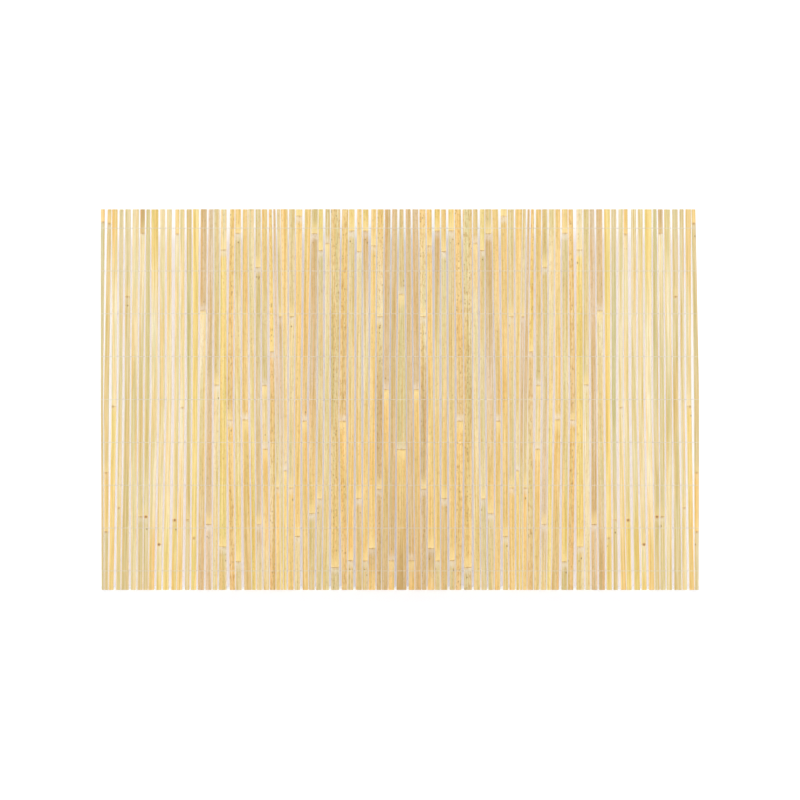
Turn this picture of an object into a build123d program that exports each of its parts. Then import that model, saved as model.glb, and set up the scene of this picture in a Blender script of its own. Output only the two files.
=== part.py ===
from build123d import *

import os
from math import asin, cos, tan

# A border fence of split bamboo: slats stand side by side, and rows of wire bind them into a mat.
# +X runs along the fence, +Z is up and the skin of the slats faces -Y.
# The origin is the middle of the foot line. All sizes are in millimetres.

# Driving dimensions of the slats
FENCE_HEIGHT = 1000.0
FENCE_LENGTH = 1573.0  # the mat ends with the last slat that fits in this length
SLAT_THICKNESS = 5.0  # from the crown of the skin to the flat split back
CULM_RADIUS = 46.0  # the skin keeps the curve of the stem that the slat was split from
KNUCKLE_RISE = 0.8  # how far the ridge at a joint of the stem stands out of the skin
KNUCKLE_LENGTH = 12.0  # the ridge's extent along the slat
KNUCKLE_START = 60.0  # height of knuckle place 1
KNUCKLE_STEP = 110.0  # from one knuckle place to the next
SPLIT_EDGES = (1.5, 1.0, 1.2)  # the pale rim on each side of the skin: at the foot, the waist and the head
TIGHT_GAP = 0.5  # neighbours come no closer than this

# Driving dimensions of the binding
WIRE_ROWS = 9
WIRE_MARGIN = 50.0  # from the foot to the first row, and from the last row to the head
WIRE_DIAMETER = 1.0
WIRE_CLEARANCE = 0.1  # between a strand and the slats that it passes
WIRE_END_INSET = 1.5  # a strand stops this far inside the outer edge of the end slat

# The slat on the fence's axis: the width of its skin at the foot, at the waist and at the head
CENTRE_WIDTHS = (24.0, 22.5, 9.0)
CENTRE_KNUCKLES = (3.81, 7.52)

# The other slats, from the axis outwards, the same on both sides.
# Each pair is the strip before the slat's skin and the skin's width: at the foot, the waist and the head.
# The rims of the two slats beside a strip take up a part of it, and the rest is the open gap.
# The last entry places its knuckles: 4.5 is half way between the fourth and the fifth place.
# A slat that shows no knuckle has none.
SLATS = [
    ((8.0, 13.5), (4.0, 13.0), (7.0, 12.0), (1.16,)),
    ((3.5, 15.5), (5.0, 12.5), (6.0, 13.5), (5.24,)),
    ((0.5, 11.5), (4.5, 15.0), (4.5, 15.0), (2.85, 6.968)),
    ((5.0, 17.0), (5.0, 12.5), (4.0, 12.0), (1.44, 8.66)),
    ((2.0, 13.0), (5.0, 11.0), (9.0, 13.0), (1.14, 9.015)),
    ((3.5, 14.5), (7.5, 12.5), (4.5, 11.0), (2.63, 8.52)),
    ((8.0, 13.0), (6.0, 14.5), (7.5, 15.0), (1.15, 9.015)),
    ((0.5, 15.0), (6.5, 18.0), (0.5, 16.0), (4.487,)),
    ((9.0, 18.5), (1.5, 19.5), (6.5, 23.0), (0.985,)),
    ((8.0, 14.5), (5.0, 11.0), (4.0, 10.5), (8.73,)),
    ((5.0, 12.0), (6.0, 11.5), (7.5, 12.0), (2.62, 8.55)),
    ((6.5, 12.0), (6.0, 18.0), (0.5, 16.5), (2.27, 8.95)),
    ((4.0, 13.0), (6.5, 11.5), (2.5, 15.0), (4.49,)),
    ((9.0, 12.0), (5.0, 13.5), (8.0, 15.0), (1.725, 9.368)),
    ((5.0, 13.0), (4.0, 12.0), (4.0, 14.5), (2.88, 6.968)),
    ((5.0, 7.0), (6.0, 9.0), (5.0, 18.0), (3.306,)),
    ((1.0, 7.0), (1.0, 9.0), (1.0, 8.0), (6.968,)),
    ((1.0, 10.5), (1.0, 9.5), (5.0, 4.5), (2.88,)),
    ((1.5, 14.0), (2.0, 13.0), (5.0, 6.5), (6.13,)),
    ((4.0, 12.5), (7.5, 12.5), (6.0, 12.5), (3.82, 5.34)),
    ((5.0, 13.0), (6.0, 11.5), (4.0, 12.5), (2.009, 8.145)),
    ((4.0, 8.5), (4.5, 9.5), (5.0, 15.5), ()),
    ((3.5, 17.0), (7.0, 14.5), (0.5, 12.5), (4.52,)),
    ((9.0, 14.0), (5.0, 14.5), (6.0, 15.0), (1.12, 8.96)),
    ((1.0, 14.0), (6.0, 14.0), (0.5, 12.0), (4.5,)),
    ((10.5, 18.0), (1.0, 18.5), (10.5, 14.0), (1.48, 8.56)),
    ((6.0, 10.5), (1.0, 13.5), (4.5, 14.0), (5.34,)),
    ((5.0, 13.5), (6.5, 13.0), (0.5, 12.5), (2.009,)),
    ((6.0, 14.0), (4.0, 14.5), (6.0, 15.0), (7.122,)),
    ((6.5, 11.5), (6.0, 12.5), (6.0, 14.5), (1.69,)),
    ((6.5, 9.5), (4.5, 10.0), (4.5, 12.0), (2.12,)),
    ((9.5, 13.0), (7.0, 10.5), (7.0, 11.5), (4.8,)),
    ((1.0, 12.5), (5.0, 11.0), (0.5, 10.5), (2.12, 8.94)),
    ((9.0, 13.0), (8.0, 12.0), (10.5, 11.5), ()),
    ((6.5, 11.0), (6.0, 13.0), (6.0, 11.5), (1.54,)),
    ((7.5, 14.5), (6.0, 14.5), (6.5, 17.0), ()),
    ((0.5, 12.0), (6.0, 12.5), (4.5, 8.5), (2.2,)),
    ((3.0, 12.0), (5.0, 10.5), (5.0, 11.0), (2.2, 8.96)),
    ((5.0, 12.0), (5.0, 15.0), (5.0, 15.0), ()),
    ((8.0, 17.5), (4.0, 13.0), (6.5, 13.0), (7.45,)),
    ((4.0, 10.0), (7.0, 9.0), (6.0, 9.5), (2.41,)),
    ((8.0, 12.0), (6.0, 12.0), (6.0, 14.5), (4.83,)),
    ((0.5, 11.0), (8.0, 12.5), (0.5, 10.0), (1.84, 3.25, 9.195)),
    ((1.0, 6.0), (3.5, 5.0), (8.5, 10.5), (9.23,)),
]

# Places that follow from the sizes above
CROWN_Y = -SLAT_THICKNESS / 2
BACK_Y = SLAT_THICKNESS / 2
LANE_OFFSET = SLAT_THICKNESS / 2 + WIRE_CLEARANCE + WIRE_DIAMETER / 2
STATIONS = (0.0, FENCE_HEIGHT / 2, FENCE_HEIGHT)
ROW_PITCH = (FENCE_HEIGHT - 2 * WIRE_MARGIN) / (WIRE_ROWS - 1)


def row_height(row):
    """Height of a row of wire, where the lowest row is 1."""
    return WIRE_MARGIN + (row - 1) * ROW_PITCH


def knuckle_height(place):
    """Height of a knuckle place."""
    return KNUCKLE_START + (place - 1) * KNUCKLE_STEP


def at_height(values, z):
    """Value at height z between those at the foot, the waist and the head."""
    lower = 0 if z <= STATIONS[1] else 1
    share = (z - STATIONS[lower]) / (STATIONS[lower + 1] - STATIONS[lower])
    return values[lower] + share * (values[lower + 1] - values[lower])


def slat_row(number):
    """Sizes of a slat counted from the axis. A longer fence starts the list again."""
    return SLATS[(number - 1) % len(SLATS)]


def lay_out():
    """Lay slats outwards from the axis, left and right in turn, for as long as the length lasts.

    Each slat is the distances of its two edges from the axis at the three stations, and the first is half
    of the slat on the axis. The numbers count the slats of each side.
    """
    skins = [([0.0] * len(STATIONS), [width / 2 for width in CENTRE_WIDTHS])]
    reaches = [max(skins[0][1])]
    while True:
        *stations, _ = slat_row(len(skins))
        near = [before + strip for before, (strip, _) in zip(skins[-1][1], stations)]
        far = [start + width for start, (_, width) in zip(near, stations)]
        if reaches[-1] + max(far) > FENCE_LENGTH:
            break
        skins.append((near, far))
        reaches.append(max(far))
    for (_, inner), (outer, _) in zip(skins, skins[1:]):
        for station, rim in enumerate(SPLIT_EDGES):
            room = (outer[station] - inner[station] - TIGHT_GAP) / 2
            inner[station] += min(rim, room)
            outer[station] -= min(rim, room)
    left_count = len(skins) - 1
    right_count = left_count if 2 * reaches[-1] <= FENCE_LENGTH else left_count - 1
    return skins, left_count, right_count


EDGES, LEFT_SLATS, RIGHT_SLATS = lay_out()
AXIS_X = (max(EDGES[LEFT_SLATS][1]) - max(EDGES[RIGHT_SLATS][1])) / 2  # the origin is the middle of the length


def ridge(knuckles, z):
    """How far the skin stands out at height z, next to the knuckles of its slat."""
    half = KNUCKLE_LENGTH / 2
    nearest = min((abs(z - knuckle_height(place)) for place in knuckles), default=half)
    return KNUCKLE_RISE * max(0.0, 1 - nearest / half)


def section_heights(knuckles):
    """Heights of a slat's cross-sections: its three stations, and three at each knuckle."""
    heights = set(STATIONS)
    for place in knuckles:
        for step in (-KNUCKLE_LENGTH / 2, 0, KNUCKLE_LENGTH / 2):
            z = knuckle_height(place) + step
            if 0 < z < FENCE_HEIGHT:
                heights.add(z)
    return sorted(heights)


def slat_group(label, slats):
    """Slats that share a node: each is its two edges at the stations, and its knuckles."""
    with BuildPart() as group:
        for left_edge, right_edge, knuckles in slats:
            for z in section_heights(knuckles):
                left = at_height(left_edge, z)
                right = at_height(right_edge, z)
                middle = (left + right) / 2
                half_angle = asin((right - left) / 2 / CULM_RADIUS)
                front = CROWN_Y - ridge(knuckles, z)
                shoulder = front + CULM_RADIUS * (1 - cos(half_angle))
                back_half = (CULM_RADIUS - SLAT_THICKNESS) * tan(half_angle)
                with BuildSketch(Plane.XY.offset(z)):
                    with BuildLine():
                        ThreePointArc((left, shoulder), (middle, front), (right, shoulder))
                        Polyline(
                            (right, shoulder),
                            (middle + back_half, BACK_Y),
                            (middle - back_half, BACK_Y),
                            (left, shoulder),
                        )
                    make_face()
            loft(ruled=True)
    group.part.label = label
    return group


def left_slat(number):
    """Edges and knuckles of one slat on the left, counted from the axis."""
    near, far = EDGES[number]
    left = [AXIS_X - distance for distance in far]
    right = [AXIS_X - distance for distance in near]
    return left, right, slat_row(number)[-1]


def mirrored(group, label):
    """The same slats on the other side of the fence's axis."""
    with BuildPart() as copy:
        mirror(group.part, about=Plane.YZ.offset(AXIS_X))
    copy.part.label = label
    return copy


def end_edge(count, side, z):
    """Outer edge of the last slat on one side, at height z."""
    return AXIS_X + side * at_height(EDGES[count][1], z)


def binding_row(row):
    """One row of binding: a straight strand in front of the slats and one behind them."""
    z = row_height(row)
    start = end_edge(LEFT_SLATS, -1, z) + WIRE_END_INSET
    end = end_edge(RIGHT_SLATS, 1, z) - WIRE_END_INSET
    with BuildPart() as wires:
        for lane in (-LANE_OFFSET, LANE_OFFSET):
            with BuildSketch(Plane(origin=(start, lane, z), x_dir=(0, 1, 0), z_dir=(1, 0, 0))):
                Circle(WIRE_DIAMETER / 2)
            extrude(amount=end - start)
    wires.part.label = f"binding_wire_row_{row}"
    return wires


def main():
    """Build every node and write it."""
    os.makedirs("parts", exist_ok=True)

    half_centre = EDGES[0][1]
    centre_left = [AXIS_X - half for half in half_centre]
    centre_right = [AXIS_X + half for half in half_centre]
    nodes = [slat_group("slat_centre", [(centre_left, centre_right, CENTRE_KNUCKLES)])]

    for first in range(1, RIGHT_SLATS + 1, 2):
        numbers = range(first, min(first + 2, RIGHT_SLATS + 1))
        count_label = "_".join(f"{number:02d}" for number in numbers)
        left_group = slat_group(f"slats_left_{count_label}", [left_slat(number) for number in numbers])
        nodes.append(left_group)
        nodes.append(mirrored(left_group, f"slats_right_{count_label}"))
    for number in range(RIGHT_SLATS + 1, LEFT_SLATS + 1):
        nodes.append(slat_group(f"slats_left_{number:02d}", [left_slat(number)]))

    for row in range(1, WIRE_ROWS + 1):
        nodes.append(binding_row(row))

    for node in nodes:
        export_step(node.part, f"parts/{node.part.label}.step")


main()
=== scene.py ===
"""Dress the split-bamboo border fence: its slats, its binding wire and a plain studio around it.

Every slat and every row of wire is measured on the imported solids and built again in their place, with the
fibres, the scars of the knuckles, the worn split edges and the crossing strands that plain solids leave out.
"""

import logging
import math
from dataclasses import dataclass, field
from enum import Enum

import bmesh
import bpy
import numpy as np
from mathutils import Matrix, Vector


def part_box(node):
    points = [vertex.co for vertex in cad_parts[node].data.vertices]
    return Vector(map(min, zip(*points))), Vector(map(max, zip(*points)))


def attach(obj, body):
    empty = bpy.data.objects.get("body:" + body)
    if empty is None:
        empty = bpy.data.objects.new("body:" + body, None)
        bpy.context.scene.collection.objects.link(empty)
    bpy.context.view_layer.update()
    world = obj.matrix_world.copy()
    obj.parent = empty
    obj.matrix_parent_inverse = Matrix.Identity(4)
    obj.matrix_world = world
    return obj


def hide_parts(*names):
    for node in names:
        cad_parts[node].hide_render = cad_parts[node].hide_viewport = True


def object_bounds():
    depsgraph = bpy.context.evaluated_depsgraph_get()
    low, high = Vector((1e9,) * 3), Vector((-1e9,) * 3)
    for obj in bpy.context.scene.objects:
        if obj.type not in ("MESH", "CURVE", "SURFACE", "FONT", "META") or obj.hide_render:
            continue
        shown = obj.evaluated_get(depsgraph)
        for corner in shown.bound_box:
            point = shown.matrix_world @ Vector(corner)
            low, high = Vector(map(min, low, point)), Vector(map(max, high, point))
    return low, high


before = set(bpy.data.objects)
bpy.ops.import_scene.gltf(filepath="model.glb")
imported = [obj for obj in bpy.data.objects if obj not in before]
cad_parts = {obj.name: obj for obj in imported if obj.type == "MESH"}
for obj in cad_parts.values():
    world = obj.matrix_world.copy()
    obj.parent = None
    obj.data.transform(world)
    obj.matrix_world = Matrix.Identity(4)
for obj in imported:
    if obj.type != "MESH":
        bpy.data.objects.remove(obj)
CAD_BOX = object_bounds()

LOG = logging.getLogger("bamboo_fence")
MM = 0.001  # one millimetre in the scene's metres
BODY = "root"

# Settings and sockets of shader nodes that are used again and again
COLOUR_MIX = {"data_type": "RGBA"}
STAIN_MIX = {"data_type": "RGBA", "blend_type": "MULTIPLY"}
MIX_FACTOR, MIX_A, MIX_B, MIX_RESULT = 0, 6, 7, 2
SMOOTH_RAMP = {"interpolation_type": "SMOOTHSTEP"}
RISING = {"To Min": 0.0, "To Max": 1.0}
FALLING = {"To Min": 1.0, "To Max": 0.0}
PRODUCT = {"operation": "MULTIPLY"}
SMALLER = {"operation": "MINIMUM"}
LARGER = {"operation": "MAXIMUM"}
FAR_MM = 80.0  # a distance from a knuckle at which nothing of it shows
OUTSIDE_MM = 1000.0  # the next knuckles beyond a slat's ends are taken to be this far off
WELD_MM = 0.001  # corners of a solid that lie closer than this are one corner
ON_BACK_MM = 0.01  # corners of a slat that lie closer than this to its back are on it
LEVEL_DIGITS = 2  # the heights of a slat's corners are told apart to a hundredth of a millimetre
FACING = 0.5  # a face looks along an axis if its normal has more than this along it
STRAIGHT = 0.999  # an edge runs along an axis if this share of its length does


class Tone(Enum):
    """Shades of the dried skin. The slat list names them by their first letter."""

    AMBER = "#FDE1A4"
    CREAM = "#FEF4D8"
    FAWN = "#E4CBA4"
    GOLD = "#FCE8A4"
    MOSS = "#DED7AA"
    OLIVE = "#EBDDB4"
    PARCHMENT = "#ECD8C2"
    RUSSET = "#F2D8A9"
    STRAW = "#F7E9C2"
    UMBER = "#DAC198"


class Joint(Enum):
    """How the joints of the stem show on a slat."""

    SCAR = "a dark line with a waxy band beside it"
    KNOT = "a brown eye where a twig grew"


class Skin(Enum):
    """Material slots of a slat, in the order of its mesh."""

    OUTER = 0
    SPLIT = 1
    CUT_END = 2


class Draw(Enum):
    """Random draws of the slats. Each starts from numbers of its own."""

    HEAD_CUT = 0
    EDGE_WEAR = 1000
    LIGHT = 2000
    EYE = 3000
    GRAIN = 4000
    WAX = 5000


class Chart(Enum):
    """Flat areas that a slat's surface is unrolled into."""

    FRONT = 0
    BACK = 1
    LEFT = 2
    RIGHT = 3
    HEAD = 4
    FOOT = 5


TONE_BY_LETTER = {tone.name[0]: tone for tone in Tone}

# Tones of the slats, from the axis outwards: one word for each stretch between knuckles, from the foot up.
# A word's letters follow each other from its lower to its upper end.
SLAT_TONES = (
    "UA O O", "AF F", "FA F", "F FUS CA", "AU A A", "O AASF G", "R AS A", "O AO G", "RA RA",
    "O AOS", "S O", "O SO G", "O APF O", "A RA", "S A G", "A OS O", "G SA", "GSPP O",
    "A SPPF", "RSR GA", "SA S OA", "SP PO O", "GGSS", "RA A", "O GSSO A", "RA RA", "S G C",
    "SC O", "P FP", "FSC F", "G G", "O OMMO", "AC CS", "G SSC A", "GCSSS", "GC S",
    "ACCCG", "O OM", "O OOOC U", "SSOCS", "O O", "S SO", "AG CCA", "O A O A", "OM A",
)
FLIPPED = frozenset({0, 1, 2, 8, 10, 13, 16, 20, 23, 29})  # these stand with the stem's upper end down
MOTTLED = frozenset({3, 8, 9, 19, 25})  # these have the most brown mould spots
FIRST_KNOTTED = 30  # from here outwards the knuckles show as twig eyes
DARK_EYED = frozenset({33, 35, 37})  # these have the darkest eyes, in their lower half

# How much blotches, spots, wax and the line at the knuckles show on a slat
AGE_SHARES = {Joint.SCAR: (0.35, 0.2, 0.75, 0.8), Joint.KNOT: (0.1, 0.05, 0.3, 0.4)}
MOTTLED_SHARES = (0.8, 0.5)  # blotches and spots of a mottled slat


def linear(hex_colour: str) -> tuple[float, float, float, float]:
    """Turn an sRGB hex colour into linear light.

    Args:
        hex_colour: The colour as #RRGGBB.

    Returns:
        Linear red, green and blue, and an alpha of 1.
    """
    channels = [int(hex_colour[i:i + 2], 16) / 255 for i in (1, 3, 5)]
    lights = [c / 12.92 if c <= 0.04045 else ((c + 0.055) / 1.055) ** 2.4 for c in channels]
    return (*lights, 1.0)


def add_node(
    tree: bpy.types.NodeTree, kind: str, settings: dict, inputs: dict, output: int | str = 0
) -> bpy.types.NodeSocket:
    """Add a shader node with its settings and links.

    Args:
        tree: The node tree that gets the node.
        kind: The node's type name, without the words that all of them start with.
        settings: Properties of the node by name.
        inputs: Values or output sockets by input name or number.
        output: The output that is wanted.

    Returns:
        That output of the new node.
    """
    made = tree.nodes.new("ShaderNode" + kind)
    for name, value in settings.items():
        setattr(made, name, value)
    for key, value in inputs.items():
        if isinstance(value, bpy.types.NodeSocket):
            tree.links.new(value, made.inputs[key])
        else:
            made.inputs[key].default_value = value
    return made.outputs[output]


def new_material(name: str) -> tuple[bpy.types.Material, bpy.types.NodeTree, bpy.types.Node]:
    """Start a material with a single Principled shader.

    Args:
        name: The material's name.

    Returns:
        The material, its node tree and its shader node.
    """
    material = bpy.data.materials.new(name)
    material.use_nodes = True
    tree = material.node_tree
    return material, tree, tree.nodes["Principled BSDF"]


def pattern_steps(size_mm: tuple[float, float]) -> tuple[float, float, float]:
    """Steps of a pattern in one millimetre of a slat.

    Args:
        size_mm: Width and length of the pattern's features.

    Returns:
        The steps across, through and along the slat.
    """
    wide, long = size_mm
    return 1.0 / wide, 1.0 / wide, 1.0 / long


def seen_directly(tree: bpy.types.NodeTree) -> bpy.types.NodeSocket:
    """Tell a look at the studio from light that only passes it on.

    Args:
        tree: The node tree of a paper or of the world.

    Returns:
        1 for the camera, for reflections and through glass, and 0 for other light.
    """
    camera = add_node(tree, "LightPath", {}, {}, "Is Camera Ray")
    rays = camera.node.outputs
    mirrored = add_node(tree, "Math", LARGER, {0: camera, 1: rays["Is Glossy Ray"]})
    return add_node(tree, "Math", LARGER, {0: mirrored, 1: rays["Is Transmission Ray"]})


def smooth_step(low: float, high: float, value: np.ndarray) -> np.ndarray:
    """Ramp smoothly from 0 at low to 1 at high.

    Args:
        low: Where the ramp starts.
        high: Where it ends.
        value: The values to place on it.

    Returns:
        The ramp's height at each value.
    """
    share = np.clip((value - low) / (high - low), 0.0, 1.0)
    return share * share * (3.0 - 2.0 * share)


@dataclass(frozen=True)
class BambooSkin:
    """Split bamboo, outer skin, dried indoors: satin, with fine fibres, blotches and knuckle marks."""

    name: str = "split_bamboo_skin_dried"
    fibre_mm: tuple[float, float] = (0.8, 70.0)
    band_mm: tuple[float, float] = (4.0, 260.0)
    blotch_mm: tuple[float, float] = (3.5, 14.0)
    spot_mm: tuple[float, float] = (6.5, 10.0)
    ripe_mm: tuple[float, float] = (6.0, 46.0)
    wax_mm: tuple[float, float] = (6.0, 24.0)
    dots_mm: tuple[float, float] = (18.0, 40.0)
    line_mm: tuple[float, float] = (0.8, 2.3)
    eye_mm: tuple[float, float] = (2.0, 6.5)
    pupil_mm: tuple[float, float] = (1.3, 3.0)
    eye_reach_mm: tuple[float, float] = (10.0, 16.0)
    bruise_mm: tuple[float, float] = (0.4, 2.0)
    roughness: tuple[float, float] = (0.42, 0.58)
    fibre_depth_mm: float = 0.12
    bruise_colour: str = "#F4E3CB"
    blotch_stain: str = "#DFC397"
    spot_colour: str = "#8F6D3E"
    ripe_colour: str = "#F9DF9C"
    wax_colour: str = "#EFE3D0"
    line_colour: str = "#93642D"
    eye_colour: str = "#D6A25A"
    pupil_colour: str = "#6E4520"

    def material(self) -> bpy.types.Material:
        """Build the skin's node tree.

        Returns:
            The finished material.
        """
        material, tree, shader = new_material(self.name)
        grain = add_node(tree, "Attribute", {"attribute_name": "grain"}, {}, "Vector")
        place = add_node(tree, "Attribute", {"attribute_name": "knuckle"}, {}, "Vector")
        mark = add_node(tree, "SeparateXYZ", {}, {0: place}).node.outputs
        place = add_node(tree, "VectorMath", PRODUCT, {0: grain, 1: pattern_steps(self.fibre_mm)})
        fibres = add_node(
            tree, "TexNoise", {}, {"Vector": place, "Scale": 1.0, "Detail": 3.0, "Roughness": 0.6}
        )
        colour = add_node(tree, "Attribute", {"attribute_name": "tone"}, {}, "Color")
        colour = self.streaks(tree, colour, grain, fibres)
        colour = self.mould(tree, colour, grain, mark)
        colour = self.knuckles(tree, colour, grain, mark)
        colour = self.twig_eye(tree, colour, mark)

        # Along the split edge the skin is bruised and pale
        bruise = add_node(
            tree, "MapRange", SMOOTH_RAMP,
            {"Value": mark["Z"], "From Min": self.bruise_mm[0], "From Max": self.bruise_mm[1],
             "To Min": 0.7, "To Max": 0.0},
        )
        colour = add_node(
            tree, "Mix", COLOUR_MIX,
            {MIX_FACTOR: bruise, MIX_A: colour, MIX_B: linear(self.bruise_colour)}, MIX_RESULT,
        )
        rough = add_node(
            tree, "MapRange", {},
            {"Value": fibres, "From Min": 0.3, "From Max": 0.7,
             "To Min": self.roughness[0], "To Max": self.roughness[1]},
        )
        bump = add_node(
            tree, "Bump", {}, {"Height": fibres, "Strength": 0.5, "Distance": self.fibre_depth_mm * MM}
        )
        tree.links.new(colour, shader.inputs["Base Color"])
        tree.links.new(rough, shader.inputs["Roughness"])
        tree.links.new(bump, shader.inputs["Normal"])
        return material

    def streaks(
        self,
        tree: bpy.types.NodeTree,
        colour: bpy.types.NodeSocket,
        grain: bpy.types.NodeSocket,
        fibres: bpy.types.NodeSocket,
    ) -> bpy.types.NodeSocket:
        """Draw the fibres, which run the whole length as fine streaks and broader bands of green and gold.

        Args:
            tree: The material's node tree.
            colour: The colour so far.
            grain: Place on the slat in millimetres.
            fibres: The fine fibres.

        Returns:
            The streaked colour.
        """
        place = add_node(tree, "VectorMath", PRODUCT, {0: grain, 1: pattern_steps(self.band_mm)})
        bands = add_node(
            tree, "TexNoise", {}, {"Vector": place, "Scale": 1.0, "Detail": 2.0, "Roughness": 0.6}
        )
        warm = add_node(tree, "SeparateColor", {}, {0: bands.node.outputs["Color"]}, "Green")
        for pattern, low, high, dark, light in (
            (bands, 0.38, 0.60, "#E9EACF", "#FFFFFF"),
            (warm, 0.42, 0.64, "#FFFFFF", "#FFEDCC"),
            (fibres, 0.30, 0.70, "#F0E9DA", "#FFFFFF"),
        ):
            share = add_node(
                tree, "MapRange", SMOOTH_RAMP, {"Value": pattern, "From Min": low, "From Max": high, **RISING}
            )
            tint = add_node(
                tree, "Mix", COLOUR_MIX,
                {MIX_FACTOR: share, MIX_A: linear(dark), MIX_B: linear(light)}, MIX_RESULT,
            )
            colour = add_node(
                tree, "Mix", STAIN_MIX, {MIX_FACTOR: 1.0, MIX_A: colour, MIX_B: tint}, MIX_RESULT
            )
        return colour

    def mould(
        self,
        tree: bpy.types.NodeTree,
        colour: bpy.types.NodeSocket,
        grain: bpy.types.NodeSocket,
        mark: bpy.types.NodeOutputs,
    ) -> bpy.types.NodeSocket:
        """Stain the skin with the brown blotches and small dark spots that mould leaves on older stems.

        Args:
            tree: The material's node tree.
            colour: The colour so far.
            grain: Place on the slat in millimetres.
            mark: Distances from the knuckles.

        Returns:
            The stained colour.
        """
        age = add_node(tree, "Attribute", {"attribute_name": "age"}, {}, "Color")
        share = add_node(tree, "SeparateColor", {}, {0: age}).node.outputs
        place = add_node(tree, "VectorMath", PRODUCT, {0: grain, 1: pattern_steps(self.blotch_mm)})
        noise = add_node(
            tree, "TexNoise", {}, {"Vector": place, "Scale": 1.0, "Detail": 4.0, "Roughness": 0.65}
        )
        blotches = add_node(
            tree, "MapRange", SMOOTH_RAMP, {"Value": noise, "From Min": 0.46, "From Max": 0.68, **RISING}
        )
        blotches = add_node(tree, "Math", PRODUCT, {0: blotches, 1: share["Red"]})
        colour = add_node(
            tree, "Mix", STAIN_MIX,
            {MIX_FACTOR: blotches, MIX_A: colour, MIX_B: linear(self.blotch_stain)}, MIX_RESULT,
        )
        place = add_node(tree, "VectorMath", PRODUCT, {0: grain, 1: pattern_steps(self.spot_mm)})
        distance = add_node(tree, "TexVoronoi", {}, {"Vector": place, "Scale": 1.0}, "Distance")
        chance = add_node(tree, "SeparateColor", {}, {0: distance.node.outputs["Color"]})
        near = add_node(
            tree, "MapRange", SMOOTH_RAMP, {"Value": distance, "From Min": 0.14, "From Max": 0.36, **FALLING}
        )
        some = add_node(
            tree, "MapRange", SMOOTH_RAMP, {"Value": chance, "From Min": 0.56, "From Max": 0.64, **RISING}
        )
        spots = add_node(tree, "Math", PRODUCT, {0: near, 1: some})

        # A few dots also lie below the wax of each knuckle
        aside = add_node(
            tree, "Math", {"operation": "SUBTRACT"}, {0: mark["Y"], 1: sum(self.dots_mm) / 2}
        )
        aside = add_node(tree, "Math", {"operation": "ABSOLUTE"}, {0: aside})
        half = (self.dots_mm[1] - self.dots_mm[0]) / 2
        below_wax = add_node(
            tree, "MapRange", SMOOTH_RAMP,
            {"Value": aside, "From Min": 0.6 * half, "From Max": half, "To Min": 0.85, "To Max": 0.0},
        )
        dotted = add_node(tree, "Math", LARGER, {0: share["Green"], 1: below_wax})
        spots = add_node(tree, "Math", PRODUCT, {0: spots, 1: dotted})
        return add_node(
            tree, "Mix", COLOUR_MIX,
            {MIX_FACTOR: spots, MIX_A: colour, MIX_B: linear(self.spot_colour)}, MIX_RESULT,
        )

    def knuckles(
        self,
        tree: bpy.types.NodeTree,
        colour: bpy.types.NodeSocket,
        grain: bpy.types.NodeSocket,
        mark: bpy.types.NodeOutputs,
    ) -> bpy.types.NodeSocket:
        """Draw a thin brown line at each knuckle, gold skin above it and wax rubbed thin towards the root.

        Args:
            tree: The material's node tree.
            colour: The colour so far.
            grain: Place on the slat in millimetres.
            mark: Distances from the knuckles.

        Returns:
            The colour with the knuckles.
        """
        age = add_node(tree, "Attribute", {"attribute_name": "age"}, {}, "Color")
        share = add_node(tree, "SeparateColor", {}, {0: age}).node.outputs
        ripe = add_node(
            tree, "MapRange", SMOOTH_RAMP,
            {"Value": mark["X"], "From Min": self.ripe_mm[0], "From Max": self.ripe_mm[1],
             "To Min": 0.75, "To Max": 0.0},
        )
        ripe = add_node(tree, "Math", PRODUCT, {0: ripe, 1: age.node.outputs["Alpha"]})
        colour = add_node(
            tree, "Mix", COLOUR_MIX,
            {MIX_FACTOR: ripe, MIX_A: colour, MIX_B: linear(self.ripe_colour)}, MIX_RESULT,
        )
        place = add_node(tree, "VectorMath", PRODUCT, {0: grain, 1: pattern_steps(self.spot_mm)})
        rubbed = add_node(tree, "TexNoise", {}, {"Vector": place, "Scale": 1.0, "Detail": 3.0})
        patchy = add_node(
            tree, "MapRange", {},
            {"Value": rubbed, "From Min": 0.3, "From Max": 0.6, "To Min": 0.35, "To Max": 1.0},
        )
        fade = add_node(
            tree, "MapRange", SMOOTH_RAMP,
            {"Value": mark["Y"], "From Min": self.wax_mm[0], "From Max": self.wax_mm[1], **FALLING},
        )
        wax = add_node(tree, "Math", PRODUCT, {0: fade, 1: share["Blue"]})
        wax = add_node(tree, "Math", PRODUCT, {0: wax, 1: patchy})
        colour = add_node(
            tree, "Mix", COLOUR_MIX,
            {MIX_FACTOR: wax, MIX_A: colour, MIX_B: linear(self.wax_colour)}, MIX_RESULT,
        )
        line = add_node(
            tree, "MapRange", SMOOTH_RAMP,
            {"Value": mark["X"], "From Min": self.line_mm[0], "From Max": self.line_mm[1], **FALLING},
        )
        line = add_node(tree, "Math", PRODUCT, {0: line, 1: age.node.outputs["Alpha"]})
        line = add_node(tree, "Math", PRODUCT, {0: line, 1: patchy})
        return add_node(
            tree, "Mix", COLOUR_MIX,
            {MIX_FACTOR: line, MIX_A: colour, MIX_B: linear(self.line_colour)}, MIX_RESULT,
        )

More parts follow.
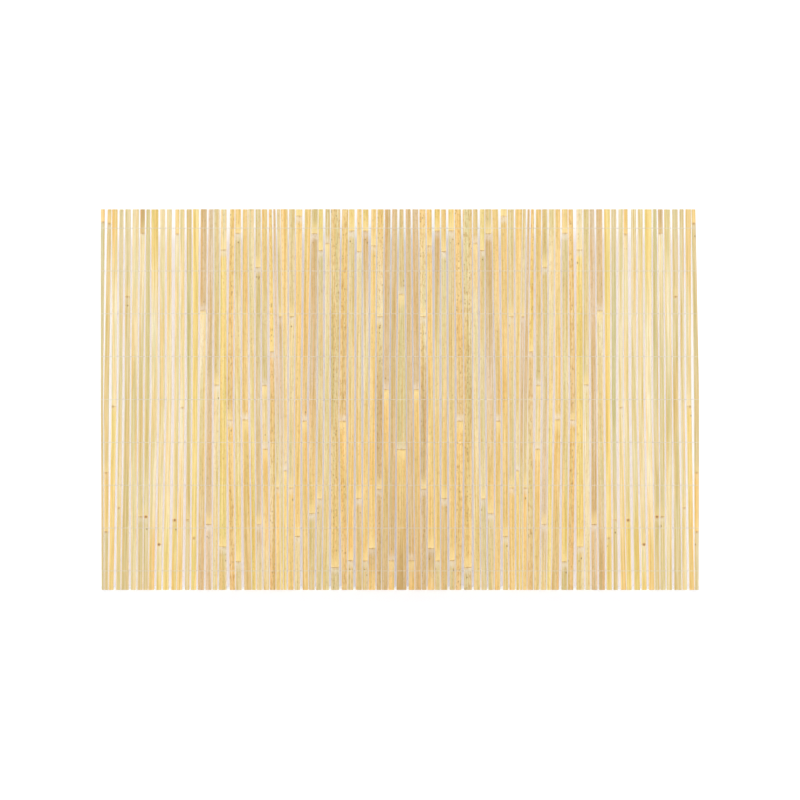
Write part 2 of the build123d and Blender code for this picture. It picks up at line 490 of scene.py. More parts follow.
    def twig_eye(
        self, tree: bpy.types.NodeTree, colour: bpy.types.NodeSocket, mark: bpy.types.NodeOutputs
    ) -> bpy.types.NodeSocket:
        """Draw the brown eye where a twig grew at a knuckle.

        Args:
            tree: The material's node tree.
            colour: The colour so far.
            mark: Distances from the knuckles.

        Returns:
            The colour with the eye.
        """
        eye = add_node(tree, "Attribute", {"attribute_name": "eye"}, {}, "Vector")
        part = add_node(tree, "SeparateXYZ", {}, {0: eye}).node.outputs
        flat = add_node(tree, "CombineXYZ", {}, {0: part["X"], 1: part["Y"]})
        reach = add_node(tree, "VectorMath", {"operation": "LENGTH"}, {0: flat}, "Value")
        nearest = add_node(tree, "Math", SMALLER, {0: mark["X"], 1: mark["Y"]})
        here = add_node(
            tree, "MapRange", SMOOTH_RAMP,
            {"Value": nearest, "From Min": self.eye_reach_mm[0], "From Max": self.eye_reach_mm[1], **FALLING},
        )
        here = add_node(tree, "Math", PRODUCT, {0: here, 1: part["Z"]})
        for (inside, outside), paint in (
            (self.eye_mm, self.eye_colour),
            (self.pupil_mm, self.pupil_colour),
        ):
            share = add_node(
                tree, "MapRange", SMOOTH_RAMP,
                {"Value": reach, "From Min": inside, "From Max": outside, **FALLING},
            )
            share = add_node(tree, "Math", PRODUCT, {0: share, 1: here})
            colour = add_node(
                tree, "Mix", COLOUR_MIX, {MIX_FACTOR: share, MIX_A: colour, MIX_B: linear(paint)}, MIX_RESULT
            )
        return colour


@dataclass(frozen=True)
class SplitBamboo:
    """Split bamboo, torn open with a knife: dull, pale straw flesh with long coarse fibres."""

    name: str = "split_bamboo_flesh_riven"
    fibre_mm: tuple[float, float] = (0.7, 40.0)
    patch_mm: tuple[float, float] = (6.0, 120.0)
    torn_mm: tuple[float, float] = (1.0, 4.0)
    fibre_depth_mm: float = 0.25
    roughness: float = 0.78
    flesh_colour: str = "#EBD6A6"
    fibre_stain: str = "#CDB48A"
    patch_stain: str = "#DCC294"
    torn_colour: str = "#A67C45"

    def material(self) -> bpy.types.Material:
        """Build the flesh's node tree.

        Returns:
            The finished material.
        """
        material, tree, shader = new_material(self.name)
        grain = add_node(tree, "Attribute", {"attribute_name": "grain"}, {}, "Vector")
        place = add_node(tree, "Attribute", {"attribute_name": "knuckle"}, {}, "Vector")
        mark = add_node(tree, "SeparateXYZ", {}, {0: place}).node.outputs

        # The flesh is paler and duller than the skin, and riven fibres shade it in fine dark lines
        colour = add_node(tree, "Attribute", {"attribute_name": "tone"}, {}, "Color")
        colour = add_node(
            tree, "Mix", COLOUR_MIX,
            {MIX_FACTOR: 0.55, MIX_A: colour, MIX_B: linear(self.flesh_colour)}, MIX_RESULT,
        )
        place = add_node(tree, "VectorMath", PRODUCT, {0: grain, 1: pattern_steps(self.fibre_mm)})
        fibres = add_node(
            tree, "TexNoise", {}, {"Vector": place, "Scale": 1.0, "Detail": 4.0, "Roughness": 0.6}
        )
        place = add_node(tree, "VectorMath", PRODUCT, {0: grain, 1: pattern_steps(self.patch_mm)})
        patches = add_node(
            tree, "TexNoise", {}, {"Vector": place, "Scale": 1.0, "Detail": 3.0, "Roughness": 0.6}
        )
        for pattern, low, high, ends, stain in (
            (fibres, 0.35, 0.55, FALLING, self.fibre_stain),
            (patches, 0.50, 0.72, RISING, self.patch_stain),
        ):
            share = add_node(
                tree, "MapRange", SMOOTH_RAMP, {"Value": pattern, "From Min": low, "From Max": high, **ends}
            )
            colour = add_node(
                tree, "Mix", STAIN_MIX, {MIX_FACTOR: share, MIX_A: colour, MIX_B: linear(stain)}, MIX_RESULT
            )

        # The wall across the stem was knocked out at each knuckle and leaves a brown torn line
        nearest = add_node(tree, "Math", SMALLER, {0: mark["X"], 1: mark["Y"]})
        torn = add_node(
            tree, "MapRange", SMOOTH_RAMP,
            {"Value": nearest, "From Min": self.torn_mm[0], "From Max": self.torn_mm[1],
             "To Min": 0.7, "To Max": 0.0},
        )
        colour = add_node(
            tree, "Mix", COLOUR_MIX,
            {MIX_FACTOR: torn, MIX_A: colour, MIX_B: linear(self.torn_colour)}, MIX_RESULT,
        )
        bump = add_node(
            tree, "Bump", {}, {"Height": fibres, "Strength": 0.7, "Distance": self.fibre_depth_mm * MM}
        )
        tree.links.new(colour, shader.inputs["Base Color"])
        tree.links.new(bump, shader.inputs["Normal"])
        shader.inputs["Roughness"].default_value = self.roughness
        return material


@dataclass(frozen=True)
class SawnBamboo:
    """Split bamboo, sawn across: dull and pale, with the dark dots of its vessels."""

    name: str = "split_bamboo_end_grain_sawn"
    vessel_pitch_mm: float = 1.3  # about twice the real pitch, so that the dots show in a close view
    roughness: float = 0.88
    cut_stain: str = "#F2E6C8"
    vessel_colour: str = "#A8834C"

    def material(self) -> bpy.types.Material:
        """Build the end grain's node tree.

        Returns:
            The finished material.
        """
        material, tree, shader = new_material(self.name)
        place = add_node(tree, "TexCoord", {}, {}, "Object")
        distance = add_node(
            tree, "TexVoronoi", {}, {"Vector": place, "Scale": 1.0 / (self.vessel_pitch_mm * MM)}, "Distance"
        )
        dots = add_node(
            tree, "MapRange", SMOOTH_RAMP,
            {"Value": distance, "From Min": 0.2, "From Max": 0.42, "To Min": 0.8, "To Max": 0.0},
        )

        # The cut is a little greyer than the skin
        colour = add_node(tree, "Attribute", {"attribute_name": "tone"}, {}, "Color")
        colour = add_node(
            tree, "Mix", STAIN_MIX,
            {MIX_FACTOR: 1.0, MIX_A: colour, MIX_B: linear(self.cut_stain)}, MIX_RESULT,
        )
        colour = add_node(
            tree, "Mix", COLOUR_MIX,
            {MIX_FACTOR: dots, MIX_A: colour, MIX_B: linear(self.vessel_colour)}, MIX_RESULT,
        )
        tree.links.new(colour, shader.inputs["Base Color"])
        shader.inputs["Roughness"].default_value = self.roughness
        return material


@dataclass(frozen=True)
class GalvanisedWire:
    """Mild steel wire, hot-dip galvanised: matt zinc grey with soft lighter and darker patches."""

    name: str = "steel_wire_galvanised"
    spangle_mm: float = 3.0
    dull_colour: str = "#D8D3C8"
    bright_colour: str = "#EFEBE1"
    roughness: tuple[float, float] = (0.4, 0.58)
    metallic: float = 0.5

    def material(self) -> bpy.types.Material:
        """Build the wire's node tree.

        Returns:
            The finished material.
        """
        material, tree, shader = new_material(self.name)
        place = add_node(tree, "TexCoord", {}, {}, "Object")
        noise = add_node(
            tree, "TexNoise", {},
            {"Vector": place, "Scale": 1.0 / (self.spangle_mm * MM), "Detail": 3.0, "Roughness": 0.65},
        )
        share = add_node(
            tree, "MapRange", SMOOTH_RAMP, {"Value": noise, "From Min": 0.35, "From Max": 0.65, **RISING}
        )
        patches = add_node(
            tree, "Mix", COLOUR_MIX,
            {MIX_FACTOR: share, MIX_A: linear(self.dull_colour), MIX_B: linear(self.bright_colour)},
            MIX_RESULT,
        )
        rough = add_node(
            tree, "MapRange", {},
            {"Value": noise, "From Min": 0.3, "From Max": 0.7,
             "To Min": self.roughness[1], "To Max": self.roughness[0]},
        )
        tree.links.new(patches, shader.inputs["Base Color"])
        tree.links.new(rough, shader.inputs["Roughness"])
        shader.inputs["Metallic"].default_value = self.metallic
        return material


@dataclass(frozen=True)
class StudioPaper:
    """Paper, matt coated: white where the light reaches it, with a lilac shade, partly cast by the fence and
    partly painted near it, that pales towards the rim.
    """

    name: str
    one_sided: bool
    own_light: str = "#A690AA"  # what the paper shows without a lamp, towards its rim
    painted_shade_light: str = "#6C5C8F"  # the same near the fence's axis, darker: painted shade where the fence shades the paper
    painted_shade_reach_m: float = 0.6  # how far the painted shade reaches along the fence
    rim_axis: str = "Z"  # the painted shade also fades out along this axis
    rim_centre_m: float = 0.0  # counted from here
    rim_m: tuple[float, float] = (0.93, 1.02)  # between these distances
    lit_colour: str = "#E0F2E8"  # what the lamps add
    bounce_colour: str = "#F3F1EF"  # what the paper passes on to the fence
    roughness: float = 0.9

    def material(self) -> bpy.types.Material:
        """Build the paper's node tree.

        Returns:
            The finished material.
        """
        material, tree, shader = new_material(self.name)
        shader.inputs["Base Color"].default_value = linear(self.bounce_colour)
        shader.inputs["Roughness"].default_value = self.roughness

        # To the camera the lit paper is white, and only a part of that comes from the lamps
        # Near the fence the paper's own light is darker: a painted shade, which fades out sideways and
        # towards the rim
        place = add_node(tree, "TexCoord", {}, {}, "Object")
        where = add_node(tree, "SeparateXYZ", {}, {0: place}).node.outputs
        aside = add_node(tree, "Math", {"operation": "ABSOLUTE"}, {0: where["X"]})
        side_rim = add_node(
            tree, "MapRange", SMOOTH_RAMP,
            {"Value": aside, "From Min": 0.0, "From Max": self.painted_shade_reach_m, **RISING},
        )
        away = add_node(
            tree, "Math", {"operation": "SUBTRACT"}, {0: where[self.rim_axis], 1: self.rim_centre_m}
        )
        away = add_node(tree, "Math", {"operation": "ABSOLUTE"}, {0: away})
        far_rim = add_node(
            tree, "MapRange", SMOOTH_RAMP,
            {"Value": away, "From Min": self.rim_m[0], "From Max": self.rim_m[1], **RISING},
        )
        share = add_node(tree, "Math", LARGER, {0: side_rim, 1: far_rim})
        # Mix the painted shade near the fence with the paler own light of the rim
        shade = add_node(
            tree, "Mix", COLOUR_MIX,
            {MIX_FACTOR: share, MIX_A: linear(self.painted_shade_light), MIX_B: linear(self.own_light)}, MIX_RESULT,
        )
        own = add_node(tree, "Emission", {}, {"Color": shade, "Strength": 1.0})
        lit = add_node(tree, "BsdfDiffuse", {}, {"Color": linear(self.lit_colour)})
        both = add_node(tree, "AddShader", {}, {0: own, 1: lit})
        surface = add_node(
            tree, "MixShader", {}, {0: seen_directly(tree), 1: shader.outputs["BSDF"], 2: both}
        )
        if self.one_sided:
            behind = add_node(tree, "NewGeometry", {}, {}, "Backfacing")
            clear = add_node(tree, "BsdfTransparent", {}, {})
            surface = add_node(tree, "MixShader", {}, {0: behind, 1: surface, 2: clear})
        tree.links.new(surface, tree.nodes["Material Output"].inputs["Surface"])
        return material


@dataclass
class LathBlank:
    """A straight lath that every slat is bent from. It is x across and y through, and z counts its rings."""

    width_mm: float = 12.0
    thickness_mm: float = 5.0
    columns: int = 6
    rings: int = 76
    edge_mm: float = 0.35
    edge_segments: int = 2
    spacing_mm: float = 100.0

    def mesh(self, laths: int) -> bpy.types.Mesh:
        """Model laths side by side in one mesh.

        Args:
            laths: How many laths share the mesh.

        Returns:
            The mesh, with its material slots' numbers on its faces.
        """
        bm = bmesh.new()
        bmesh.ops.create_cube(bm, size=1.0)
        bmesh.ops.translate(bm, vec=(0.0, 0.0, 0.5), verts=bm.verts)
        bmesh.ops.scale(bm, vec=(self.width_mm, self.thickness_mm, self.rings), verts=bm.verts)
        for axis, cuts in ((0, self.columns - 1), (1, 1)):
            bmesh.ops.subdivide_edges(bm, edges=self.edges_along(bm, axis), cuts=cuts, use_grid_fill=True)
        corners = [
            edge for edge in self.edges_along(bm, 2)
            if len({round(face.normal.y) for face in edge.link_faces}) == 2
        ]
        bmesh.ops.bevel(
            bm, geom=corners, offset=self.edge_mm, offset_type="OFFSET", segments=self.edge_segments,
            profile=0.5, affect="EDGES", material=-1,
        )
        bmesh.ops.subdivide_edges(
            bm, edges=self.edges_along(bm, 2), cuts=self.rings - 1, use_grid_fill=True
        )
        bm.normal_update()
        for face in bm.faces:
            face.smooth = abs(face.normal.z) < FACING
            for edge in face.edges if not face.smooth else ():
                edge.smooth = False
            if not face.smooth:
                face.material_index = Skin.CUT_END.value
            elif face.normal.y > -FACING:
                face.material_index = Skin.SPLIT.value
        whole = bm.verts[:] + bm.edges[:] + bm.faces[:]
        for number in range(1, laths):
            copied = bmesh.ops.duplicate(bm, geom=whole)
            fresh = [item for item in copied["geom"] if isinstance(item, bmesh.types.BMVert)]
            bmesh.ops.translate(bm, vec=(self.spacing_mm * number, 0.0, 0.0), verts=fresh)
        mesh = bpy.data.meshes.new("lath_blank")
        bm.to_mesh(mesh)
        bm.free()
        return mesh

    @staticmethod
    def edges_along(bm: bmesh.types.BMesh, axis: int) -> list[bmesh.types.BMEdge]:
        """Edges that run along one axis.

        Args:
            bm: The lath so far.
            axis: The axis' number.

        Returns:
            Those edges.
        """
        found = []
        for edge in bm.edges:
            run = edge.verts[1].co - edge.verts[0].co
            if abs(run[axis]) > STRAIGHT * run.length:
                found.append(edge)
        return found


@dataclass
class Slat:
    """One split-bamboo slat, measured on its solid. All its sizes are in millimetres."""

    number: int
    mirrored: bool
    levels: np.ndarray
    left: np.ndarray
    right: np.ndarray
    crown: np.ndarray
    radius: np.ndarray
    back: np.ndarray
    ring_pitch: float = 24.0
    knuckle_ring_pitch: float = 0.75
    knuckle_half: float = 6.0
    edge_wear: float = 0.3
    head_cut: float = 0.6
    back_hollow: float = 0.25
    least_rise: float = 0.2  # a level is a knuckle if its crown stands out by more than this
    rim: float = 1.0  # this much of each edge keeps the blank's rounding
    height_step: float = 0.25  # how finely the rings are spread
    scar: tuple[float, float] = (2.2, 0.8)  # its distance below the middle of a knuckle, and its half width
    scar_share: float = 0.8  # its height as a share of the knuckle's
    swelling: tuple[float, float] = (1.6, 2.4)  # its distance above the middle, and its half width
    wear_waves: tuple[float, ...] = (310.0, 130.0, 57.0)
    light_spread: tuple[float, float] = (0.96, 1.04)  # stretches between knuckles differ in lightness
    tone_ends: tuple[float, float] = (0.1, 0.9)  # where the first and the last tone of a stretch are pure
    eye_aside: float = 0.35  # a twig eye lies off the middle by up to this share of half the width
    knot_strength: tuple[float, float] = (0.25, 0.45)
    scar_eye_strength: float = 0.2
    dark_eye_strength: float = 1.0
    least_wax: float = 0.5
    grain_shift: float = 900.0
    knuckles: np.ndarray = field(init=False)
    rise: float = field(init=False)

    @classmethod
    def measure(cls, number: int, mirrored: bool, points: np.ndarray) -> "Slat":
        """Read a slat's edges, crown and back off its solid.

        Args:
            number: The slat's number from the fence's axis, where the slat on the axis is 0.
            mirrored: True on the right of the axis.
            points: The solid's corners in millimetres.

        Returns:
            The measured slat.
        """
        heights = np.round(points[:, 2], LEVEL_DIGITS)
        back = points[:, 1].max()
        on_back = points[:, 1] > back - ON_BACK_MM
        sections = []
        for level in np.unique(heights[on_back]):
            row = points[heights == level]
            left = row[row[:, 0].argmin()]
            right = row[row[:, 0].argmax()]
            top = row[row[:, 1].argmin()]
            middle = (left[0] + right[0]) / 2
            half = (right[0] - left[0]) / 2

            # The circle through the two edges and the corner nearest to the crown
            reach = (top[0] - middle) ** 2 + top[1] ** 2 - half**2 - left[1] ** 2
            centre = reach / (2 * (top[1] - left[1]))
            radius = math.hypot(half, centre - left[1])
            sections.append((level, left[0], right[0], centre - radius, radius, back))
        return cls(number, mirrored, *np.array(sections).T)

    def __post_init__(self) -> None:
        """Find the knuckles, which are the levels where the crown stands out."""
        flat = self.crown[0]
        self.rise = float(flat - self.crown.min())
        self.knuckles = self.levels[self.crown < flat - self.least_rise]
        self.crown = np.full_like(self.crown, flat)

    @property
    def seed(self) -> int:
        """A number that no other slat has."""
        return 2 * self.number + int(self.mirrored)

    @property
    def joint(self) -> Joint:
        """How the slat's knuckles show."""
        return Joint.KNOT if self.number >= FIRST_KNOTTED else Joint.SCAR

    def at(self, values: np.ndarray, heights: np.ndarray | float) -> np.ndarray | float:
        """A measured size at other heights."""
        return np.interp(heights, self.levels, values)

    def ring_heights(self, rings: int) -> np.ndarray:
        """Spread the rings over the slat, close together at its knuckles.

        Args:
            rings: Number of steps between the foot and the head.

        Returns:
            The height of each ring.
        """
        draw = np.random.default_rng(Draw.HEAD_CUT.value + self.seed)
        cut = self.head_cut * draw.random()
        heights = np.arange(0.0, self.levels[-1] - cut, self.height_step)
        density = np.full_like(heights, 1.0 / self.ring_pitch)
        for knuckle in self.knuckles:
            near = 1.0 - smooth_step(self.knuckle_half, 2.0 * self.knuckle_half, np.abs(heights - knuckle))
            density += near / self.knuckle_ring_pitch
        count = np.concatenate(([0.0], np.cumsum(density)[:-1]))
        return np.interp(np.linspace(0.0, count[-1], rings + 1), count, heights)

    def ridge(self, heights: np.ndarray) -> np.ndarray:
        """Height of the knuckles over the skin: a sharp scar, a groove and a rounded swelling.

        Args:
            heights: Heights along the slat.

        Returns:
            How far the skin stands out there.
        """
        out = np.zeros_like(heights)
        way = -1.0 if self.number in FLIPPED else 1.0
        below, scar_half = self.scar
        above, swelling_half = self.swelling
        for knuckle in self.knuckles:
            step = way * (heights - knuckle)
            scar = self.scar_share * np.exp(-((step + below) / scar_half) ** 2)
            swelling = np.exp(-((step - above) / swelling_half) ** 2)
            out = np.maximum(out, self.rise * np.maximum(scar, swelling))
        return out

    def wear(self, heights: np.ndarray, side: int) -> np.ndarray:
        """How much the splitting knife left off an edge.

        Args:
            heights: Heights along the slat.
            side: 0 for the left edge and 1 for the right one.

        Returns:
            The loss at each height, from 0 to the edge wear.
        """
        draw = np.random.default_rng(Draw.EDGE_WEAR.value + 2 * self.seed + side)
        wave = np.zeros_like(heights)
        for length in self.wear_waves:
            wave += np.sin(heights / length * 2 * math.pi + draw.uniform(0, 2 * math.pi))
        return self.edge_wear * (0.5 + wave / (2 * len(self.wear_waves)))

    def bend(self, across: np.ndarray, through: np.ndarray, ring: np.ndarray, blank: LathBlank) -> np.ndarray:
        """Bend the lath blank into this slat.

        Args:
            across: The blank's points across the lath, from its middle.
            through: The blank's points through the lath, from its middle.
            ring: The blank's ring of each point.
            blank: The blank.

        Returns:
            The slat's points in millimetres.
        """
        height = self.ring_heights(blank.rings)[ring]
        left = self.at(self.left, height) + self.wear(height, 0)
        right = self.at(self.right, height) - self.wear(height, 1)
        half = (right - left) / 2
        crown = self.at(self.crown, height)
        back = self.at(self.back, height)
        radius = self.at(self.radius, height)

        # The rim keeps its size, and the rest is stretched to the slat's width
        blank_half = blank.width_mm / 2
        inner = across / (blank_half - self.rim) * (half - self.rim)
        outer = np.sign(across) * (half - blank_half + np.abs(across))
        x = np.where(np.abs(across) > blank_half - self.rim, outer, inner)

        # The sides were split towards the middle of the stem, and the back is a little hollow
        depth = through / blank.thickness_mm + 0.5
        taper = (radius - (back - crown)) / np.sqrt(radius**2 - half**2)
        x = x * (1.0 + depth * (taper - 1.0))
        skin = crown - self.ridge(height) + radius - np.sqrt(radius**2 - x**2)
        hollow = back - self.back_hollow * (1.0 - (x / half) ** 2)
        y = skin * (1.0 - depth) + hollow * depth
        return np.stack([x + (left + right) / 2, y, height], axis=1)

    def tones(self, height: np.ndarray) -> np.ndarray:
        """Colour of the skin along the slat.

        Args:
            height: Heights along the slat.

        Returns:
            Linear colours with an alpha of 1.
        """
        words = SLAT_TONES[self.number % len(SLAT_TONES)].split()
        ends = np.concatenate(([0.0], self.knuckles, [self.levels[-1]]))
        stretch = np.clip(np.searchsorted(ends, height, side="right") - 1, 0, len(ends) - 2)
        draw = np.random.default_rng(Draw.LIGHT.value + self.seed)
        colours = np.zeros((len(height), 4))
        for index in range(len(ends) - 1):
            word = words[min(index, len(words) - 1)]
            tones = np.array([linear(TONE_BY_LETTER[letter].value) for letter in word])
            places = np.linspace(*self.tone_ends, len(word))
            here = stretch == index
            along = (height[here] - ends[index]) / (ends[index + 1] - ends[index])
            light = draw.uniform(*self.light_spread)
            for channel in range(3):
                colours[here, channel] = np.interp(along, places, tones[:, channel]) * light
        colours[:, 3] = 1.0
        return colours

    def knuckle_marks(self, points: np.ndarray) -> tuple[np.ndarray, np.ndarray]:
        """Distances from the knuckles and the split edges, and places around the twig eyes.

        Args:
            points: The slat's points in millimetres.

        Returns:
            Vectors of the distance on the bright side of a knuckle, the distance on its waxy side and the
            distance from the split edge; and vectors of the place from the nearest eye, with its strength.
        """
        height = points[:, 2]
        ends = np.concatenate(([-OUTSIDE_MM], self.knuckles, [self.levels[-1] + OUTSIDE_MM]))
        stretch = np.clip(np.searchsorted(ends, height, side="right") - 1, 0, len(ends) - 2)
        above = np.minimum(height - ends[stretch], FAR_MM)
        below = np.minimum(ends[stretch + 1] - height, FAR_MM)
        middle = (self.at(self.left, height) + self.at(self.right, height)) / 2
        half = (self.at(self.right, height) - self.at(self.left, height)) / 2
        edge = half - np.abs(points[:, 0] - middle)
        bright, waxy = (below, above) if self.number in FLIPPED else (above, below)

        draw = np.random.default_rng(Draw.EYE.value + self.number)
        aside = draw.uniform(-self.eye_aside, self.eye_aside) * half * (-1.0 if self.mirrored else 1.0)
        rise = np.where(above < below, above, -below)
        knotted = self.joint is Joint.KNOT
        strength = draw.uniform(*self.knot_strength) if knotted else self.scar_eye_strength
        dark = (height < self.levels[-1] / 2) & (self.number in DARK_EYED)
        strengths = np.where(dark, self.dark_eye_strength, strength)
        eye = np.stack([points[:, 0] - middle - aside, rise, strengths], axis=1)
        return np.stack([bright, waxy, edge], axis=1), eye

    def age(self, count: int) -> np.ndarray:
        """Blotches, spots, wax and knuckle line of the slat, each as a share.

        Args:
            count: Number of points.

        Returns:
            The four shares for every point.
        """
        blotches, spots, wax, line = AGE_SHARES[self.joint]
        if self.number in MOTTLED:
            blotches, spots = MOTTLED_SHARES
        wax *= np.random.default_rng(Draw.WAX.value + self.number).uniform(self.least_wax, 1.0)
        return np.tile((blotches, spots, wax, line), (count, 1))

    def grain(self, points: np.ndarray) -> np.ndarray:
        """Place on the slat for its patterns: across, through and along, moved by the slat's own draw.

        Args:
            points: The slat's points in millimetres.

        Returns:
            The places in millimetres.
        """
        height = points[:, 2]
        middle = (self.at(self.left, height) + self.at(self.right, height)) / 2
        place = np.stack([points[:, 0] - middle, points[:, 1], height], axis=1)
        draw = np.random.default_rng(Draw.GRAIN.value + self.seed)
        return place + draw.uniform(0.0, self.grain_shift, 3)


@dataclass
class SlatMat:
    """All the slats of the fence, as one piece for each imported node."""

    skin: BambooSkin = field(default_factory=BambooSkin)
    flesh: SplitBamboo = field(default_factory=SplitBamboo)
    end_grain: SawnBamboo = field(default_factory=SawnBamboo)
    blank: LathBlank = field(default_factory=LathBlank)
    spans: int = 4  # a slat is unrolled in this many lengths
    chart_margin_mm: float = 1.5
    chart_foot: float = 0.005
    chart_height: float = 0.945
    cap_band: tuple[float, float] = (0.965, 0.995)
    cap_margin: float = 0.05
    slats: list[Slat] = field(default_factory=list)

    def build(self) -> list[bpy.types.Object]:
        """Build every slat.

        Returns:
            The pieces.
        """
        finishes = [finish.material() for finish in (self.skin, self.flesh, self.end_grain)]
        low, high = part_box("slat_centre")
        axis = (low.x + high.x) / 2 / MM
        blanks: dict[int, bpy.types.Mesh] = {}
        pieces = []
        for node in sorted(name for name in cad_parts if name.startswith("slat")):
            group = self.measure(node, axis)
            self.slats.extend(group)
            count = len(group)
            if count not in blanks:
                blanks[count] = self.blank.mesh(count)
            pieces.append(self.piece(node, group, blanks[count], finishes))
        self.slats.sort(key=lambda slat: slat.left[0])
        return pieces

    @staticmethod
    def measure(node: str, axis: float) -> list[Slat]:
        """Measure the slats of one node.

        Args:
            node: The node's name, which ends in its slats' numbers.
            axis: Where the fence's axis is, in millimetres.

        Returns:
            Its slats, from the axis outwards.
        """
        bm = bmesh.new()
        bm.from_mesh(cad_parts[node].data)
        bmesh.ops.remove_doubles(bm, verts=bm.verts, dist=WELD_MM * MM)
        waiting = set(bm.verts)
        solids = []
        while waiting:
            reached = [waiting.pop()]
            solid = []
            while reached:
                vert = reached.pop()
                solid.append(tuple(vert.co / MM))
                for edge in vert.link_edges:
                    other = edge.other_vert(vert)
                    if other in waiting:
                        waiting.remove(other)
                        reached.append(other)
            solids.append(np.array(solid))
        bm.free()
        solids.sort(key=lambda points: abs(points[:, 0].mean() - axis))
        numbers = [int(part) for part in node.split("_") if part.isdigit()] or [0]
        mirrored = "right" in node
        return [Slat.measure(number, mirrored, points) for number, points in zip(numbers, solids)]

    def piece(
        self, node: str, group: list[Slat], blank_mesh: bpy.types.Mesh, finishes: list[bpy.types.Material]
    ) -> bpy.types.Object:
        """Make the piece that stands for one node.

        Args:
            node: The node's name.
            group: The node's slats.
            blank_mesh: As many blank laths as it has slats.
            finishes: The materials, in the order of the slots.

        Returns:
            The piece.
        """
        mesh = blank_mesh.copy()
        mesh.name = f"{node}_split"
        blank_points = np.zeros(len(mesh.vertices) * 3)
        mesh.vertices.foreach_get("co", blank_points)
        blank_points = blank_points.reshape(-1, 3)
        owner = np.round(blank_points[:, 0] / self.blank.spacing_mm).astype(int)
        points = np.zeros_like(blank_points)
        layers = {
            "grain": np.zeros_like(points),
            "knuckle": np.zeros_like(points),
            "eye": np.zeros_like(points),
            "tone": np.zeros((len(points), 4)),
            "age": np.zeros((len(points), 4)),
        }
        for index, slat in enumerate(group):
            own = owner == index
            across = blank_points[own, 0] - index * self.blank.spacing_mm
            ring = np.round(blank_points[own, 2]).astype(int)
            placed = slat.bend(across, blank_points[own, 1], ring, self.blank)
            points[own] = placed
            layers["grain"][own] = slat.grain(placed)
            layers["knuckle"][own], layers["eye"][own] = slat.knuckle_marks(placed)
            layers["tone"][own] = slat.tones(placed[:, 2])
            layers["age"][own] = slat.age(len(placed))
        self.unroll(mesh, owner, points, group)
        mesh.vertices.foreach_set("co", (points * MM).ravel())
        for name, values in layers.items():
            vector = values.shape[1] == 3
            layer = mesh.attributes.new(name, "FLOAT_VECTOR" if vector else "FLOAT_COLOR", "POINT")
            layer.data.foreach_set("vector" if vector else "color", values.astype(np.float32).ravel())
        for finish in finishes:
            mesh.materials.append(finish)
        mesh.update()
        piece = bpy.data.objects.new(f"{node}_split", mesh)
        bpy.context.scene.collection.objects.link(piece)
        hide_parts(node)
        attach(piece, BODY)
        return piece

    def unroll(
        self, mesh: bpy.types.Mesh, owner: np.ndarray, points: np.ndarray, group: list[Slat]
    ) -> None:
        """Unroll the slats into upright strips, so that a baked map covers them evenly.

        Args:
            mesh: The blank laths, whose faces still face along the axes.
            owner: The slat of each point.
            points: The slats' points in millimetres.
            group: The slats.
        """
        corner = np.zeros(len(mesh.loops), dtype=int)
        mesh.loops.foreach_get("vertex_index", corner)
        sizes = np.zeros(len(mesh.polygons), dtype=int)
        mesh.polygons.foreach_get("loop_total", sizes)
        normals = np.zeros(len(mesh.polygons) * 3)
        mesh.polygons.foreach_get("normal", normals)
        normals = normals.reshape(-1, 3)
        centres = np.zeros(len(mesh.polygons) * 3)
        mesh.polygons.foreach_get("center", centres)
        ring_middle = centres.reshape(-1, 3)[:, 2]

        charts = np.where(normals[:, 0] < 0, Chart.LEFT.value, Chart.RIGHT.value)
        charts[normals[:, 1] < -FACING] = Chart.FRONT.value
        charts[normals[:, 1] > FACING] = Chart.BACK.value
        charts[normals[:, 2] > FACING] = Chart.HEAD.value
        charts[normals[:, 2] < -FACING] = Chart.FOOT.value
        chart = np.repeat(charts, sizes)
        span_rings = self.blank.rings // self.spans
        span = np.repeat(np.clip(ring_middle // span_rings, 0, self.spans - 1), sizes)

        widths = [slat.right.max() - slat.left.min() + self.chart_margin_mm for slat in group]
        side_width = self.blank.thickness_mm + self.chart_margin_mm
        strip = sum(2 * width + 2 * side_width for width in widths)
        flat = np.zeros((len(corner), 2))
        start = 0.0
        for index, slat in enumerate(group):
            own = owner[corner] == index
            place = points[corner] - (slat.left.min(), slat.crown[0], 0.0)
            rows = slat.ring_heights(self.blank.rings)
            lowest = rows[(span * span_rings).astype(int)]
            highest = rows[((span + 1) * span_rings).astype(int)]
            offsets = {
                Chart.FRONT: start,
                Chart.BACK: start + widths[index],
                Chart.LEFT: start + 2 * widths[index],
                Chart.RIGHT: start + 2 * widths[index] + side_width,
            }
            for kind, offset in offsets.items():
                here = own & (chart == kind.value)
                axis = 0 if kind in (Chart.FRONT, Chart.BACK) else 1
                sideways = place[here, axis] + self.chart_margin_mm / 2
                flat[here, 0] = (span[here] * strip + offset + sideways) / (strip * self.spans)
                rise = (place[here, 2] - lowest[here]) / (highest[here] - lowest[here])
                flat[here, 1] = self.chart_foot + self.chart_height * rise
            for end, kind in enumerate((Chart.FOOT, Chart.HEAD)):
                here = own & (chart == kind.value)
                share = self.cap_margin + (1 - 2 * self.cap_margin) * place[here, 0] / widths[index]
                flat[here, 0] = (2 * index + end + share) / (2 * len(group))
                low, high = self.cap_band
                depth = np.clip(place[here, 1] / self.blank.thickness_mm, 0.0, 1.0)
                flat[here, 1] = low + (high - low) * depth
            start += 2 * widths[index] + 2 * side_width
        layer = mesh.uv_layers.new(name="OFBake")
        layer.data.foreach_set("uv", flat.astype(np.float32).ravel())


